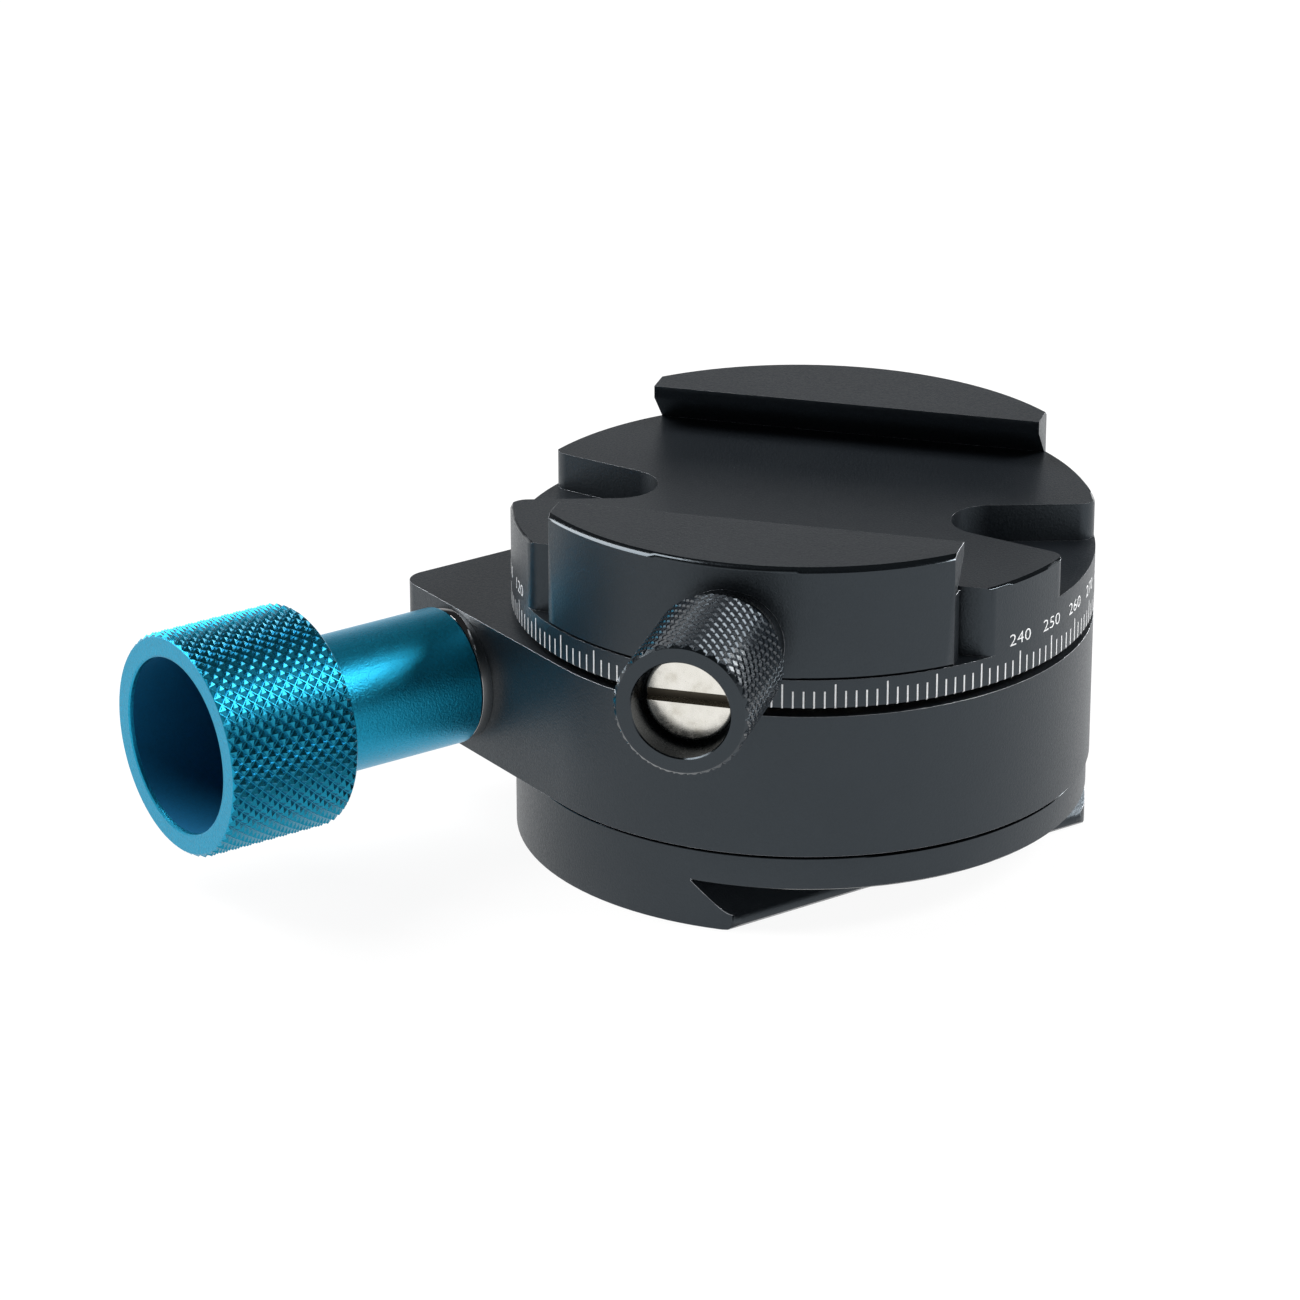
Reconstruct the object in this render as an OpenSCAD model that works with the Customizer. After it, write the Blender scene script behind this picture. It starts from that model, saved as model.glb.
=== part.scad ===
// Panoramic tripod head. A base with a dovetail rail carries a round housing with a worm
// drive, and the housing carries a graduated platform with a quick-release clamp on top.
// Millimetres. Origin on the pan axis at the underside of the base; +Z up, +X along the
// clamp channel, +Y from the sliding jaw to the fixed jaw. Base and housing are drawn
// turned under the platform, as pictured.

/* [Head] */
// Diameter of the head: the housing and the turning platform with its scale ring
head_d = 60; // [57:0.1:63]

/* [Base] */
// Turn of the base and housing against the platform
base_turn = -39.4; // [-60:0.1:-20]
// How far the base disc's rim stays inside the housing's
base_inset = 0.3; // [0:0.05:1]
// Thickness of the base disc
base_t = 3.5; // [3:0.1:4.5]
// Width of the dovetail rail over its edges
rail_w = 38.4; // [36:0.1:40]
// Height of the dovetail rail under the disc
rail_h = 4.9; // [4.4:0.1:6]
// Height of the rail's upright edge
rail_edge = 1.4; // [1.2:0.1:2]
// Rounding of the rail's end corners
rail_corner = 2.5; // [0.5:0.1:4]
// Diameter of the threaded tripod socket at its thread crests (3/8 in)
socket_d = 7.94; // [5:0.01:8.2]
// Depth of the tripod socket
socket_depth = 7; // [5:0.1:7.4]
// Wall of the steel insert round the socket
insert_wall = 2; // [1.5:0.1:3]
// Distance of the base screws from the rail's middle line
base_screw_x = 12; // [10:0.1:12.4]
// Distance of the base screws from the middle, along the rail
base_screw_y = 20.5; // [19.5:0.1:22]
// Diameter of the base screws
base_screw_d = 3; // [2.5:0.1:3.2]
// Length of the base screws under their heads
base_screw_l = 10; // [8:0.5:12]

/* [Housing] */
// Height of the housing
body_h = 15.1; // [14.9:0.1:17]
// Shadow groove between the base disc and the housing
body_gap = 0.3; // [0.2:0.05:0.5]
// Rounding of the housing's square corner
body_corner = 2.5; // [1:0.1:5]
// Thickness of the wall under the platform
top_wall = 3.4; // [3:0.1:3.8]

/* [Platform] */
// Height of the platform up to the channel floor
platform_h = 10.4; // [9.6:0.1:12]
// Gap between the housing and the scale ring
dial_gap = 0.8; // [0.6:0.05:1.2]
// Height of the scale ring in front, under the sliding jaw
ring_h = 3.1; // [2.6:0.1:3.4]
// Distance of the platform's front face from the pan axis
front_flat = 18.5; // [18:0.1:19]
// Rounding of the platform's upright corners
pillar_r = 1.8; // [0.8:0.1:2.5]
// Bevel of the platform's edges
platform_edge = 0.3; // [0.1:0.05:0.5]
// Distance of the end slots' inner rounding from the pan axis
slot_x = 19.9; // [19.5:0.1:22]
// Radius of the end slots' inner rounding
slot_r = 4.3; // [3.5:0.1:4.6]
// Flare of each slot wall
slot_flare = 17.5; // [5:0.5:22]
// Depth of the end slots
slot_depth = 4; // [2:0.1:5]

/* [Clamp] */
// Length of both jaws along the channel
jaw_l = 41.6; // [36:0.1:43]
// Height of the jaws above the channel floor
jaw_h = 4.45; // [4.2:0.05:6]
// Clear width between the lips of the jaws, as pictured
lip_gap = 35.6; // [35:0.1:36]
// Height of the jaws' lips
lip_h = 1.3; // [0.8:0.05:1.8]
// Bevel of the jaws' outer edge
jaw_edge = 0.5; // [0.2:0.05:0.8]
// Gap between the sliding jaw's foot and the platform, as pictured
foot_gap = 1; // [0.8:0.05:1.4]
// Depth of the clamp screw's axis under the channel floor
screw_drop = 3.8; // [3.6:0.1:4]
// Diameter of the clamp screw's thread
screw_d = 5; // [4:0.1:5.4]
// Reach of the clamp screw into the platform
screw_reach = 11.5; // [8:0.1:13]
// Diameter of the clamp screw's slotted head
screw_head_d = 8.8; // [7.5:0.1:9.4]
// Thickness of the clamp screw's head
screw_head_t = 2.2; // [1.8:0.1:3]
// Width of the screwdriver slot
screw_slot_w = 1.3; // [1:0.1:1.6]
// Depth of the screwdriver slot
screw_slot_t = 1.2; // [0.8:0.1:1.4]
// Diameter of the clamp knob over its knurl
clamp_knob_d = 13.5; // [12:0.1:13.6]
// Length of the clamp knob's knurled head
clamp_knob_l = 14; // [11:0.1:15]
// Diameter of the recess in the clamp knob
recess_d = 9.8; // [9.6:0.1:10.6]
// Depth of the recess from the knob's face to the screw head
recess_depth = 3.6; // [2:0.1:3.9]
// Diameter of the clamp knob's neck
neck_d = 10; // [8:0.1:11]
// Length of the clamp knob's neck
neck_l = 3.6; // [2.5:0.1:5]
// Thickness of the washer behind the clamp knob
clamp_washer_t = 0.6; // [0.4:0.1:1]
// Diameter of the jaw's guide pins
pin_d = 4; // [3:0.1:4.2]
// Distance of the guide pins from the clamp screw
pin_x = 11.5; // [10:0.1:11.8]
// Diameter of the jaw springs' wire
spring_wire = 0.6; // [0.5:0.05:0.7]
// Free turns of each jaw spring
spring_turns = 4; // [3:1:6]

/* [Drive] */
// Distance of the worm's axis from the pan axis
worm_offset = 19.6; // [19.3:0.05:20]
// Height of the worm's axis above the housing's underside
worm_rise = 7.9; // [7.7:0.05:8.1]
// Number of teeth on the worm wheel
wheel_teeth = 36; // [34:1:36]
// Module of the worm gearing
gear_module = 0.85; // [0.82:0.01:0.86]
// Width of the worm wheel
wheel_w = 6; // [5.6:0.1:6.2]
// Length of the worm
worm_l = 16; // [12:0.5:17]
// Diameter of the worm shaft
shaft_d = 5; // [4:0.1:5.2]
// Length of the rear worm bush
rear_bush_l = 6; // [4:0.1:6.5]
// Diameter of the rear worm bush
rear_bush_d = 8; // [7:0.1:9]
// Length of the front worm bush
front_bush_l = 10; // [6:0.1:12]
// Thickness of the worm's thrust washers
thrust_t = 0.9; // [0.6:0.1:1.2]
// Length of the ring nut that holds the worm in
nut_l = 5; // [3:0.1:6]
// Diameter of the polished washer behind the drive knob
collar_d = 14.3; // [13.4:0.1:14.4]
// Thickness of the polished washer
collar_t = 1.2; // [0.8:0.1:1.6]
// Diameter of the drive knob's shank
shank_d = 14.4; // [13:0.1:14.6]
// Length of the drive knob's shank
shank_l = 17.6; // [17:0.1:22]
// Diameter of the drive knob over its knurl
drive_knob_d = 23.3; // [21:0.1:23.6]
// Length of the drive knob's head
drive_knob_l = 14.7; // [12:0.1:18]
// Diameter of the cup in the drive knob
cup_d = 18.2; // [16:0.1:19]
// Depth of the cup
cup_depth = 11; // [9:0.1:11.4]

/* [Bearings and small parts] */
// Diameter of the platform's spigot
spigot_d = 20; // [19.4:0.1:21]
// Wall of the bush round the spigot
bush_wall = 1.5; // [1:0.1:2]
// Diameter of the platform's lower stub
stub_d = 10; // [9.6:0.1:10.2]
// Outer diameter of the lower ball bearing
bearing_d = 19; // [18.6:0.1:19.6]
// Width of the lower ball bearing
bearing_w = 5; // [4.6:0.1:5.2]
// Diameter of the bearing balls
ball_d = 2.4; // [2.2:0.1:2.6]
// Inner diameter of the thrust ring under the platform
ring_in_d = 26; // [25:0.1:30]
// Outer diameter of the thrust ring under the platform
ring_out_d = 50; // [44:0.1:54]
// Depth of the thrust ring's seat in the housing
ring_seat = 0.6; // [0.4:0.05:0.7]
// Diameter of the worm wheel's screws
wheel_screw_d = 2; // [1.6:0.1:2.2]
// Distance of the worm wheel's screws from the pan axis
wheel_screw_r = 7.5; // [7.2:0.05:7.8]
// Diameter of the screw that holds the drive knob
knob_screw_d = 3; // [2.5:0.1:3]

/* [Hidden] */
$fn = 96;

slip = 0.02;          // clearance of pieces that fit together and stay put
running = 0.04;       // radial clearance of a shaft in its bush
play = 0.1;           // clearance between faces that turn against each other
over = 1;             // how far a cut runs past the face it opens
disc_z = rail_h;
disc_top = disc_z + base_t;
body_z = disc_top + body_gap;
body_top = body_z + body_h;
ceiling_z = body_top - top_wall;
dial_z = body_top + dial_gap;
shelf_z = dial_z + ring_h;
floor_z = dial_z + platform_h;
jaw_top = floor_z + jaw_h;
body_r = head_d / 2;
platform_r = head_d / 2;
base_r = body_r - base_inset;
spigot_r = spigot_d / 2;
stub_r = stub_d / 2;
land_inset = 2;       // how far the base's raised land stays inside its rim
disc_bevel = 0.2;     // bevel of the base disc's edges

// Gearing
wheel_r = wheel_teeth * gear_module / 2;
lead = PI * gear_module;
worm_r = worm_offset - wheel_r;
lead_angle = atan(lead / (2 * PI * worm_r));
flank = 20;           // flank angle of thread and teeth
flank_gap = 0.12;     // backlash on each flank
addendum = gear_module;
dedendum = gear_module + 0.2;
wheel_tip_r = wheel_r + addendum;
worm_tip_r = worm_r + addendum;
worm_root_r = worm_r - dedendum;
worm_z = body_z + worm_rise;
wheel_z = worm_z - wheel_w / 2;
wheel_top = worm_z + wheel_w / 2;
cavity_wall_gap = 0.85; // room between the worm wheel's teeth and the housing
cavity_r = wheel_tip_r + cavity_wall_gap;
worm_room = 0.45;     // room between the worm's thread and its bore
worm_bore_r = worm_tip_r + worm_room;
shaft_r = shaft_d / 2;

// Places along the drive's axis, outwards from the middle of the worm
bore_end = -worm_l / 2 - play - thrust_t - play;
rear_bush_end = bore_end - rear_bush_l;
nut_start = body_r - nut_l;
front_bush_end = nut_start - play;
front_bush_start = front_bush_end - front_bush_l;
spring_start = worm_l / 2 + play + thrust_t + play;
spring_end = front_bush_start - play;
collar_end = body_r + collar_t;
shank_start = collar_end + play;
head_start = shank_start + shank_l;
knob_end = head_start + drive_knob_l;
cup_floor = knob_end - cup_depth;
cup_web = 1.2;        // wall between the shaft's end and the cup's floor
shaft_end = cup_floor - cup_web;
knob_screw_head_r = knob_screw_d * 0.9;
knob_screw_l = 9;

// Clamp
lip_y = lip_gap / 2;
root_y = lip_y + jaw_h - lip_h;
foot_y = front_flat + foot_gap;
clamp_z = floor_z - screw_drop;
screw_r = screw_d / 2;
screw_tip = front_flat - screw_reach;
spot_depth = 0.6;     // depth of the flat seat under the clamp washer
neck_room = 0.6;      // room round the clamp knob's neck
spot_y = platform_r - spot_depth;
washer_start = spot_y;
neck_start = washer_start + clamp_washer_t;
clamp_head_start = neck_start + neck_l;
clamp_face = clamp_head_start + clamp_knob_l;
screw_head_face = clamp_face - recess_depth;
screw_head_seat = screw_head_face - screw_head_t;
pin_r = pin_d / 2;
jaw_wall = 1.39;      // wall between the guide pins' bores and the jaw's round face
pin_bore_end = sqrt(pow(platform_r, 2) - pow(pin_x + pin_r, 2)) - jaw_wall;
pin_end = pin_bore_end - foot_gap - play;
spring_r = pin_r + 0.2 + spring_wire / 2;
spring_pocket_r = spring_r + spring_wire / 2 + 0.2;
spring_pocket = 6.7;  // depth of the jaw springs' pockets
pin_seat = 6;         // length of the guide pins' seats under the pockets
spring_l = spring_pocket - play;

// Bearing
bearing_r = bearing_d / 2;
bearing_top = wheel_z - play;
bearing_z = bearing_top - bearing_w;
race_r = (bearing_r + stub_r) / 2;
race_gap = ball_d * 0.8;
ball_count = 10;
washer_wall = 4;      // width of the ring between the worm wheel and the ceiling
boss_r = bearing_r + 2;
base_head_h = base_screw_d;
base_head_r = base_screw_d * 0.92;
base_head_z = 0.5;

// Moves its children to the base's own axes
module on_base() rotate(base_turn) children();

// Moves its children to the drive's axis, +Z outwards
module on_drive() on_base() translate([-worm_offset, 0, worm_z]) rotate([90, 0, 0]) children();

// Moves its children to the clamp screw's axis, +Z outwards
module on_clamp(x = 0) translate([x, 0, clamp_z]) rotate([90, 0, 0]) children();

// A cylinder of radius r from height a to height b
module rod(r, a, b) translate([0, 0, a]) cylinder(r = r, h = b - a);

// A ring from height a to height b
module tube(r_out, r_in, a, b) difference() {
    rod(r_out, a, b);
    rod(r_in, a - over, b + over);
}

// A cylinder with both edges bevelled
module bevelled_rod(r, a, b, low, high) rotate_extrude() polygon([
    [0, a], [r - low, a], [r, a + low], [r, b - high], [r - high, b], [0, b]
]);

// A cap screw with its head from z = 0 down and its thread from z = 0 up
module cap_screw(d, l, head_r, head_h) difference() {
    union() {
        rod(d / 2, 0, l);
        rod(head_r, -head_h, 0);
    }
    translate([0, 0, -head_h - over]) cylinder(r = d * 0.45, h = over + head_h * 0.55, $fn = 6);
}

// A coil spring standing on z = 0, closed at its ends
function coil_point(i, j, r, wire, pitch, steps, sides) = let(
    turn = 360 * i / steps,
    side = 360 * j / sides,
    out = r + wire / 2 * cos(side)
) [out * cos(turn), out * sin(turn), wire / 2 + pitch * i / steps + wire / 2 * sin(side)];

module coil(r, wire, turns, height) {
    steps = 12;
    sides = 6;
    rings = turns * steps;
    pitch = (height - wire) / turns;
    points = [for (i = [0:rings], j = [0:sides - 1])
        coil_point(i, j, r, wire, pitch, steps, sides)];
    walls = [for (i = [0:rings - 1], j = [0:sides - 1]) let(
        a = i * sides + j,
        b = i * sides + (j + 1) % sides
    ) each [[a, b, b + sides], [a, b + sides, a + sides]]];
    ends = [
        [for (j = [sides - 1:-1:0]) j],
        [for (j = [0:sides - 1]) rings * sides + j]
    ];
    polyhedron(points, concat(walls, ends), convexity = 10);
}

// ---- Base and housing ----

module base_screw_places() for (x = [-1, 1], y = [-1, 1])
    translate([x * base_screw_x, y * base_screw_y, 0]) children();

// The dovetail rail, cut off by the disc's own round wall and running into it past the bevel
module dovetail() intersection() {
    neck_x = rail_w / 2 - (rail_h - rail_edge);
    rail_top = disc_z + disc_bevel;
    rod(base_r, 0, rail_top);
    rotate([90, 0, 0]) linear_extrude(2 * base_r, center = true) polygon([
        [-rail_w / 2 + 0.4, 0], [rail_w / 2 - 0.4, 0],
        [rail_w / 2, 0.4], [rail_w / 2, rail_edge],
        [neck_x, rail_h], [neck_x, rail_top], [-neck_x, rail_top], [-neck_x, rail_h],
        [-rail_w / 2, rail_edge], [-rail_w / 2, 0.4]
    ]);
    linear_extrude(rail_top) rail_plan();
}

// Plan of the rail: its corners are rounded so that they run into the disc's round wall
module rail_plan() {
    corner_x = rail_w / 2 - rail_corner;
    corner_y = sqrt(pow(base_r - rail_corner, 2) - pow(corner_x, 2));
    square([rail_w, 2 * corner_y], center = true);
    for (y = [-2, 2]) polygon([[0, 0], [2 * corner_x, y * corner_y], [-2 * corner_x, y * corner_y]]);
    for (x = [-1, 1], y = [-1, 1]) translate([x * corner_x, y * corner_y]) circle(rail_corner);
}

module base_plate() color("#2b2f34") on_base() difference() {
    union() {
        dovetail();
        bevelled_rod(base_r, disc_z, disc_top, disc_bevel, disc_bevel);
        rod(base_r - land_inset, disc_z, body_z);
        rod(boss_r, disc_z, bearing_top - 0.3);
    }
    rod(bearing_r + slip, bearing_z, bearing_top + over);
    rod(socket_d / 2 + insert_wall + slip, -over, socket_depth);
    base_screw_places() {
        rod(base_screw_d / 2 + 0.2, -over, body_z + over);
        rod(base_head_r + 0.2, -over, base_head_z + base_head_h);
    }
}

module tripod_insert() color("#b9bcc0") on_base()
    tube(socket_d / 2 + insert_wall, socket_d / 2, 0, socket_depth);

module base_screws() color("#8d9095") on_base() base_screw_places()
    translate([0, 0, base_head_z + base_head_h])
        cap_screw(base_screw_d, base_screw_l, base_head_r, base_head_h);

// Plan of the housing: a circle with one square corner for the drive
module body_plan() {
    circle(body_r);
    translate([-body_r + body_corner, -body_r]) square([body_r - body_corner, body_r]);
    translate([-body_r, -body_r + body_corner]) square([body_r, body_r - body_corner]);
    translate([-body_r + body_corner, -body_r + body_corner]) circle(body_corner);
}

module body_housing() color("#24282d") difference() {
    on_base() difference() {
        translate([0, 0, body_z]) linear_extrude(body_h) body_plan();
        rod(cavity_r, body_z - over, ceiling_z);
        rod(spigot_r + bush_wall + slip, ceiling_z - over, body_top + over);
        difference() {
            rod(ring_out_d / 2 + slip, body_top - ring_seat, body_top + over);
            rod(ring_in_d / 2 - slip, body_top - ring_seat - over, body_top + 2 * over);
        }
        base_screw_places() rod(base_screw_d / 2 + slip, body_z - over,
            base_head_z + base_head_h + base_screw_l + 0.3);
    }
    on_drive() {
        rod(worm_bore_r, bore_end, body_r + over);
        rod(rear_bush_d / 2 + slip, rear_bush_end, bore_end + over);
    }
}

module race_groove() rotate_extrude() translate([race_r, (bearing_z + bearing_top) / 2])
    circle(ball_d / 2 + 0.05, $fn = 32);

module bearing_outer_race() color("#c3c6ca") difference() {
    tube(bearing_r, race_r + race_gap / 2, bearing_z, bearing_top);
    race_groove();
}

module bearing_inner_race() color("#c3c6ca") difference() {
    tube(race_r - race_gap / 2, stub_r + slip, bearing_z, bearing_top);
    race_groove();
}

module bearing_balls() color("#d8dadd") union() {
    for (i = [0:ball_count - 1]) rotate(i * 360 / ball_count)
        translate([race_r, 0, (bearing_z + bearing_top) / 2]) sphere(d = ball_d, $fn = 32);
    tube(race_r + 0.4, race_r - 0.4, (bearing_z + bearing_top) / 2 - 0.5,
        (bearing_z + bearing_top) / 2 + 0.5);
}

module thrust_ring() color("#d9d4c4")
    tube(ring_out_d / 2, ring_in_d / 2, body_top - ring_seat, dial_z - running);

module pan_bush() color("#b08d57")
    tube(spigot_r + bush_wall, spigot_r + running, ceiling_z, body_top);

// ---- Platform and worm wheel ----

module wheel_screw_places() for (i = [0:3]) rotate(45 + i * 90)
    translate([wheel_screw_r, 0, 0]) children();

// One tooth gap of the worm wheel, cut along the worm's lead
module tooth_gap() {
    deep = wheel_r - dedendum;
    far = wheel_tip_r + 0.3;
    half = lead / 4 + flank_gap;
    rotate([-lead_angle, 0, 0]) linear_extrude(wheel_w + 2 * over, center = true) polygon([
        [deep, -half + dedendum * tan(flank)],
        [far, -half - (far - wheel_r) * tan(flank)],
        [far, half + (far - wheel_r) * tan(flank)],
        [deep, half - dedendum * tan(flank)]
    ]);
}

module worm_wheel() color("#b5934f") on_base() difference() {
    bevelled_rod(wheel_tip_r, wheel_z, wheel_top, 0.3, 0.3);
    rod(stub_r + slip, wheel_z - over, wheel_top + over);
    translate([0, 0, worm_z]) for (i = [0:wheel_teeth - 1])
        rotate(180 + i * 360 / wheel_teeth) tooth_gap();
    wheel_screw_places() {
        rod(wheel_screw_d / 2 + slip, wheel_z - over, wheel_top + over);
        rod(wheel_screw_d + 0.1, wheel_z - over, wheel_z + wheel_screw_d + 0.1);
    }
}

module wheel_screws() color("#8d9095") on_base() wheel_screw_places()
    translate([0, 0, wheel_z + wheel_screw_d + 0.1])
        cap_screw(wheel_screw_d, wheel_w + 1.4, wheel_screw_d * 0.95, wheel_screw_d);

module wheel_washer() color("#d9d4c4")
    tube(spigot_r + washer_wall, spigot_r + play, wheel_top + play, ceiling_z - play);

// Cuts the corner between the platform's round wall and a straight wall that starts at
// point p and runs along unit vector u, with the metal on the side of unit vector n
module corner_cut(p, u, n, r, a, b) {
    q = p + n * r;
    c = q + u * (-q * u + sqrt(pow(q * u, 2) - q * q + pow(platform_r - r, 2)));
    corner = p + u * (-p * u + sqrt(pow(p * u, 2) - p * p + pow(platform_r, 2)));
    rod_far = (platform_r + over) / (platform_r - r);
    translate([0, 0, a]) linear_extrude(b - a) difference() {
        polygon([c, c - n * r * 1.01, corner * 1.05, c * rod_far]);
        translate(c) circle(r);
    }
}

// Plan of the right-hand end slot, open outwards
module slot_plan() {
    side = [-sin(slot_flare), cos(slot_flare)] * slot_r;
    along = [cos(slot_flare), sin(slot_flare)] * platform_r;
    translate([slot_x, 0]) circle(slot_r);
    polygon([
        [slot_x + side.x, side.y], [slot_x + side.x + along.x, side.y + along.y],
        [slot_x + side.x + along.x, -side.y - along.y], [slot_x + side.x, -side.y]
    ]);
}

module end_slot() {
    slot_floor = floor_z - slot_depth;
    start = [slot_x - slot_r * sin(slot_flare), slot_r * cos(slot_flare)];
    translate([0, 0, slot_floor]) linear_extrude(slot_depth + over) slot_plan();
    for (m = [0, 1]) mirror([0, m, 0]) corner_cut(start, [cos(slot_flare), sin(slot_flare)],
        [-sin(slot_flare), cos(slot_flare)], pillar_r, slot_floor, floor_z + over);
}

// A jaw across the channel: a bar of the given side outline, within the platform's round
module jaw_bar(outline, low) intersection() {
    rotate([90, 0, 90]) linear_extrude(jaw_l, center = true) polygon(outline);
    bevelled_rod(platform_r, low, jaw_top, 0.2, jaw_edge);
}

module fixed_jaw() {
    under = floor_z - 2;
    jaw_bar([
        [lip_y, jaw_top], [lip_y, jaw_top - lip_h], [root_y, floor_z], [root_y, under],
        [platform_r + over, under], [platform_r + over, jaw_top]
    ], under);
}

module dial_platform() color("#26292e") difference() {
    union() {
        bevelled_rod(platform_r, dial_z, floor_z, 0.2, platform_edge);
        fixed_jaw();
        rod(spigot_r, wheel_top, dial_z + over);
        rod(stub_r, bearing_z + play, wheel_top + over);
    }
    // Front cut, where the sliding jaw sits on the scale ring
    translate([-platform_r - over, -platform_r - over, shelf_z])
        cube([head_d + 2 * over, platform_r + over - front_flat, platform_h]);
    for (m = [0, 1]) mirror([m, 0, 0]) {
        corner_cut([0, -front_flat], [1, 0], [0, 1], pillar_r, shelf_z, floor_z + over);
        end_slot();
    }
    on_clamp() {
        rod(screw_r + running, screw_tip - foot_gap - 1.5, front_flat + over);
        // Scallop in the scale ring, where the knob's neck moves with the jaw
        rod(neck_d / 2 + neck_room, spot_y - foot_gap, platform_r + over);
    }
    for (m = [-1, 1]) on_clamp(m * pin_x) {
        rod(pin_r + slip, front_flat - spring_pocket - pin_seat, front_flat + over);
        rod(spring_pocket_r, front_flat - spring_pocket, front_flat + over);
    }
    on_base() wheel_screw_places()
        rod(wheel_screw_d / 2 + slip, wheel_top - over, wheel_top + wheel_w - 2);
}

module jaw_guide_pins() color("#c3c6ca") for (m = [-1, 1]) on_clamp(m * pin_x)
    rod(pin_r, front_flat - spring_pocket - pin_seat, pin_end);

// ---- Sliding jaw and its screw ----

module sliding_jaw() color("#24282d") difference() {
    jaw_bar([
        [-lip_y, jaw_top], [-lip_y, jaw_top - lip_h], [-root_y, floor_z],
        [-foot_y, floor_z], [-foot_y, shelf_z + play / 2],
        [-platform_r - over, shelf_z + play / 2], [-platform_r - over, jaw_top]
    ], shelf_z + play / 2);
    on_clamp() {
        rod(screw_r + 0.2, 0, platform_r + over);
        rod(neck_d / 2 + neck_room, spot_y, platform_r + over);
    }
    for (m = [-1, 1]) on_clamp(m * pin_x) rod(pin_r + running, foot_y - over, pin_bore_end);
}

module jaw_springs() color("#b9bcc0") for (m = [-1, 1]) on_clamp(m * pin_x)
    translate([0, 0, foot_y - slip]) mirror([0, 0, 1])
        coil(spring_r, spring_wire, spring_turns, spring_l);

module clamp_washer() color("#c3c6ca") on_clamp()
    tube(neck_d / 2, screw_r + slip, washer_start + slip, neck_start);

module clamp_knob() color("#1d2024") on_clamp() difference() {
    union() {
        rod(neck_d / 2, neck_start, clamp_head_start);
        bevelled_rod(clamp_knob_d / 2, clamp_head_start, clamp_face, 0.3, 0.35);
    }
    rod(screw_r + slip, neck_start - over, screw_head_seat + over);
    rod(recess_d / 2, screw_head_seat, clamp_face + over);
}

module clamp_screw() color("#cfcbc2") on_clamp() difference() {
    union() {
        rod(screw_r, screw_tip, screw_head_seat);
        bevelled_rod(screw_head_d / 2, screw_head_seat, screw_head_face, 0.1, 0.4);
    }
    translate([-screw_head_d, -screw_slot_w / 2, screw_head_face - screw_slot_t])
        cube([2 * screw_head_d, screw_slot_w, screw_slot_t + over]);
}

// ---- Worm drive ----

module front_worm_bush() color("#b08d57") on_drive()
    tube(worm_bore_r - slip, shaft_r + running, front_bush_start, front_bush_end);

module rear_worm_bush() color("#b08d57") on_drive()
    tube(rear_bush_d / 2, shaft_r + running, rear_bush_end, bore_end);

module worm_thrust_washers() color("#c3c6ca") on_drive() for (m = [0, 1]) mirror([0, 0, m])
    tube(worm_bore_r - 0.3, shaft_r + running, worm_l / 2 + play, worm_l / 2 + play + thrust_t);

module preload_spring() color("#b9bcc0") on_drive() translate([0, 0, spring_start])
    coil(shaft_r + 1, 0.7, 2, spring_end - spring_start);

module worm_ring_nut() color("#3a3e44") on_drive() difference() {
    tube(worm_bore_r - slip, shaft_r + 0.5, nut_start, body_r);
    for (a = [0, 180]) rotate(a) translate([worm_bore_r - 1.6, -0.6, body_r - 1.2])
        cube([2, 1.2, 1.2 + over]);
}

module knob_washer() color("#dfe1e3") on_drive()
    tube(collar_d / 2, shaft_r + 0.3, body_r, collar_end);

module worm_shaft() color("#c3c6ca") on_drive() difference() {
    rod(shaft_r, rear_bush_end + play, shaft_end);
    rod(knob_screw_d / 2 + slip, cup_floor - knob_screw_l - play, shaft_end + over);
}

// A right-hand thread ridge of trapezoid section round the worm's core
module thread_ridge() {
    steps = 16;
    turns = (worm_l - 2) / lead;
    rings = round(turns * steps);
    half = lead / 4 - flank_gap;
    buried = worm_root_r - 0.25;
    widths = [
        [buried, half + (worm_r - buried) * tan(flank)],
        [worm_tip_r, half - addendum * tan(flank)]
    ];
    section = [
        [widths[0][0], -widths[0][1]], [widths[1][0], -widths[1][1]],
        [widths[1][0], widths[1][1]], [widths[0][0], widths[0][1]]
    ];
    points = [for (i = [0:rings], p = section) let(turn = 360 * (i - rings / 2) / steps)
        [p[0] * cos(turn), p[0] * sin(turn), lead * turn / 360 + p[1]]];
    walls = [for (i = [0:rings - 1], j = [0:3]) let(a = i * 4 + j, b = i * 4 + (j + 1) % 4)
        each [[a, b, b + 4], [a, b + 4, a + 4]]];
    ends = [[3, 2, 1, 0], [for (j = [0:3]) rings * 4 + j]];
    polyhedron(points, concat(walls, ends), convexity = 10);
}

module worm() color("#a9acb0") on_drive() difference() {
    union() {
        rod(worm_root_r, -worm_l / 2, worm_l / 2);
        thread_ridge();
    }
    rod(shaft_r + slip, -worm_l, worm_l);
}

module drive_knob() color("#1f93b8") on_drive() difference() {
    union() {
        bevelled_rod(shank_d / 2, shank_start, head_start + over, 0.2, 0);
        bevelled_rod(drive_knob_d / 2, head_start, knob_end, 0.35, 0.4);
    }
    rod(shaft_r + slip, shank_start - over, shaft_end + slip);
    rod(knob_screw_d / 2 + 0.1, shaft_end - over, cup_floor + over);
    rod(cup_d / 2, cup_floor, knob_end + over);
}

module knob_screw() color("#8d9095") on_drive() translate([0, 0, cup_floor])
    mirror([0, 0, 1])
        cap_screw(knob_screw_d, knob_screw_l, knob_screw_head_r, knob_screw_d);

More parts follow.
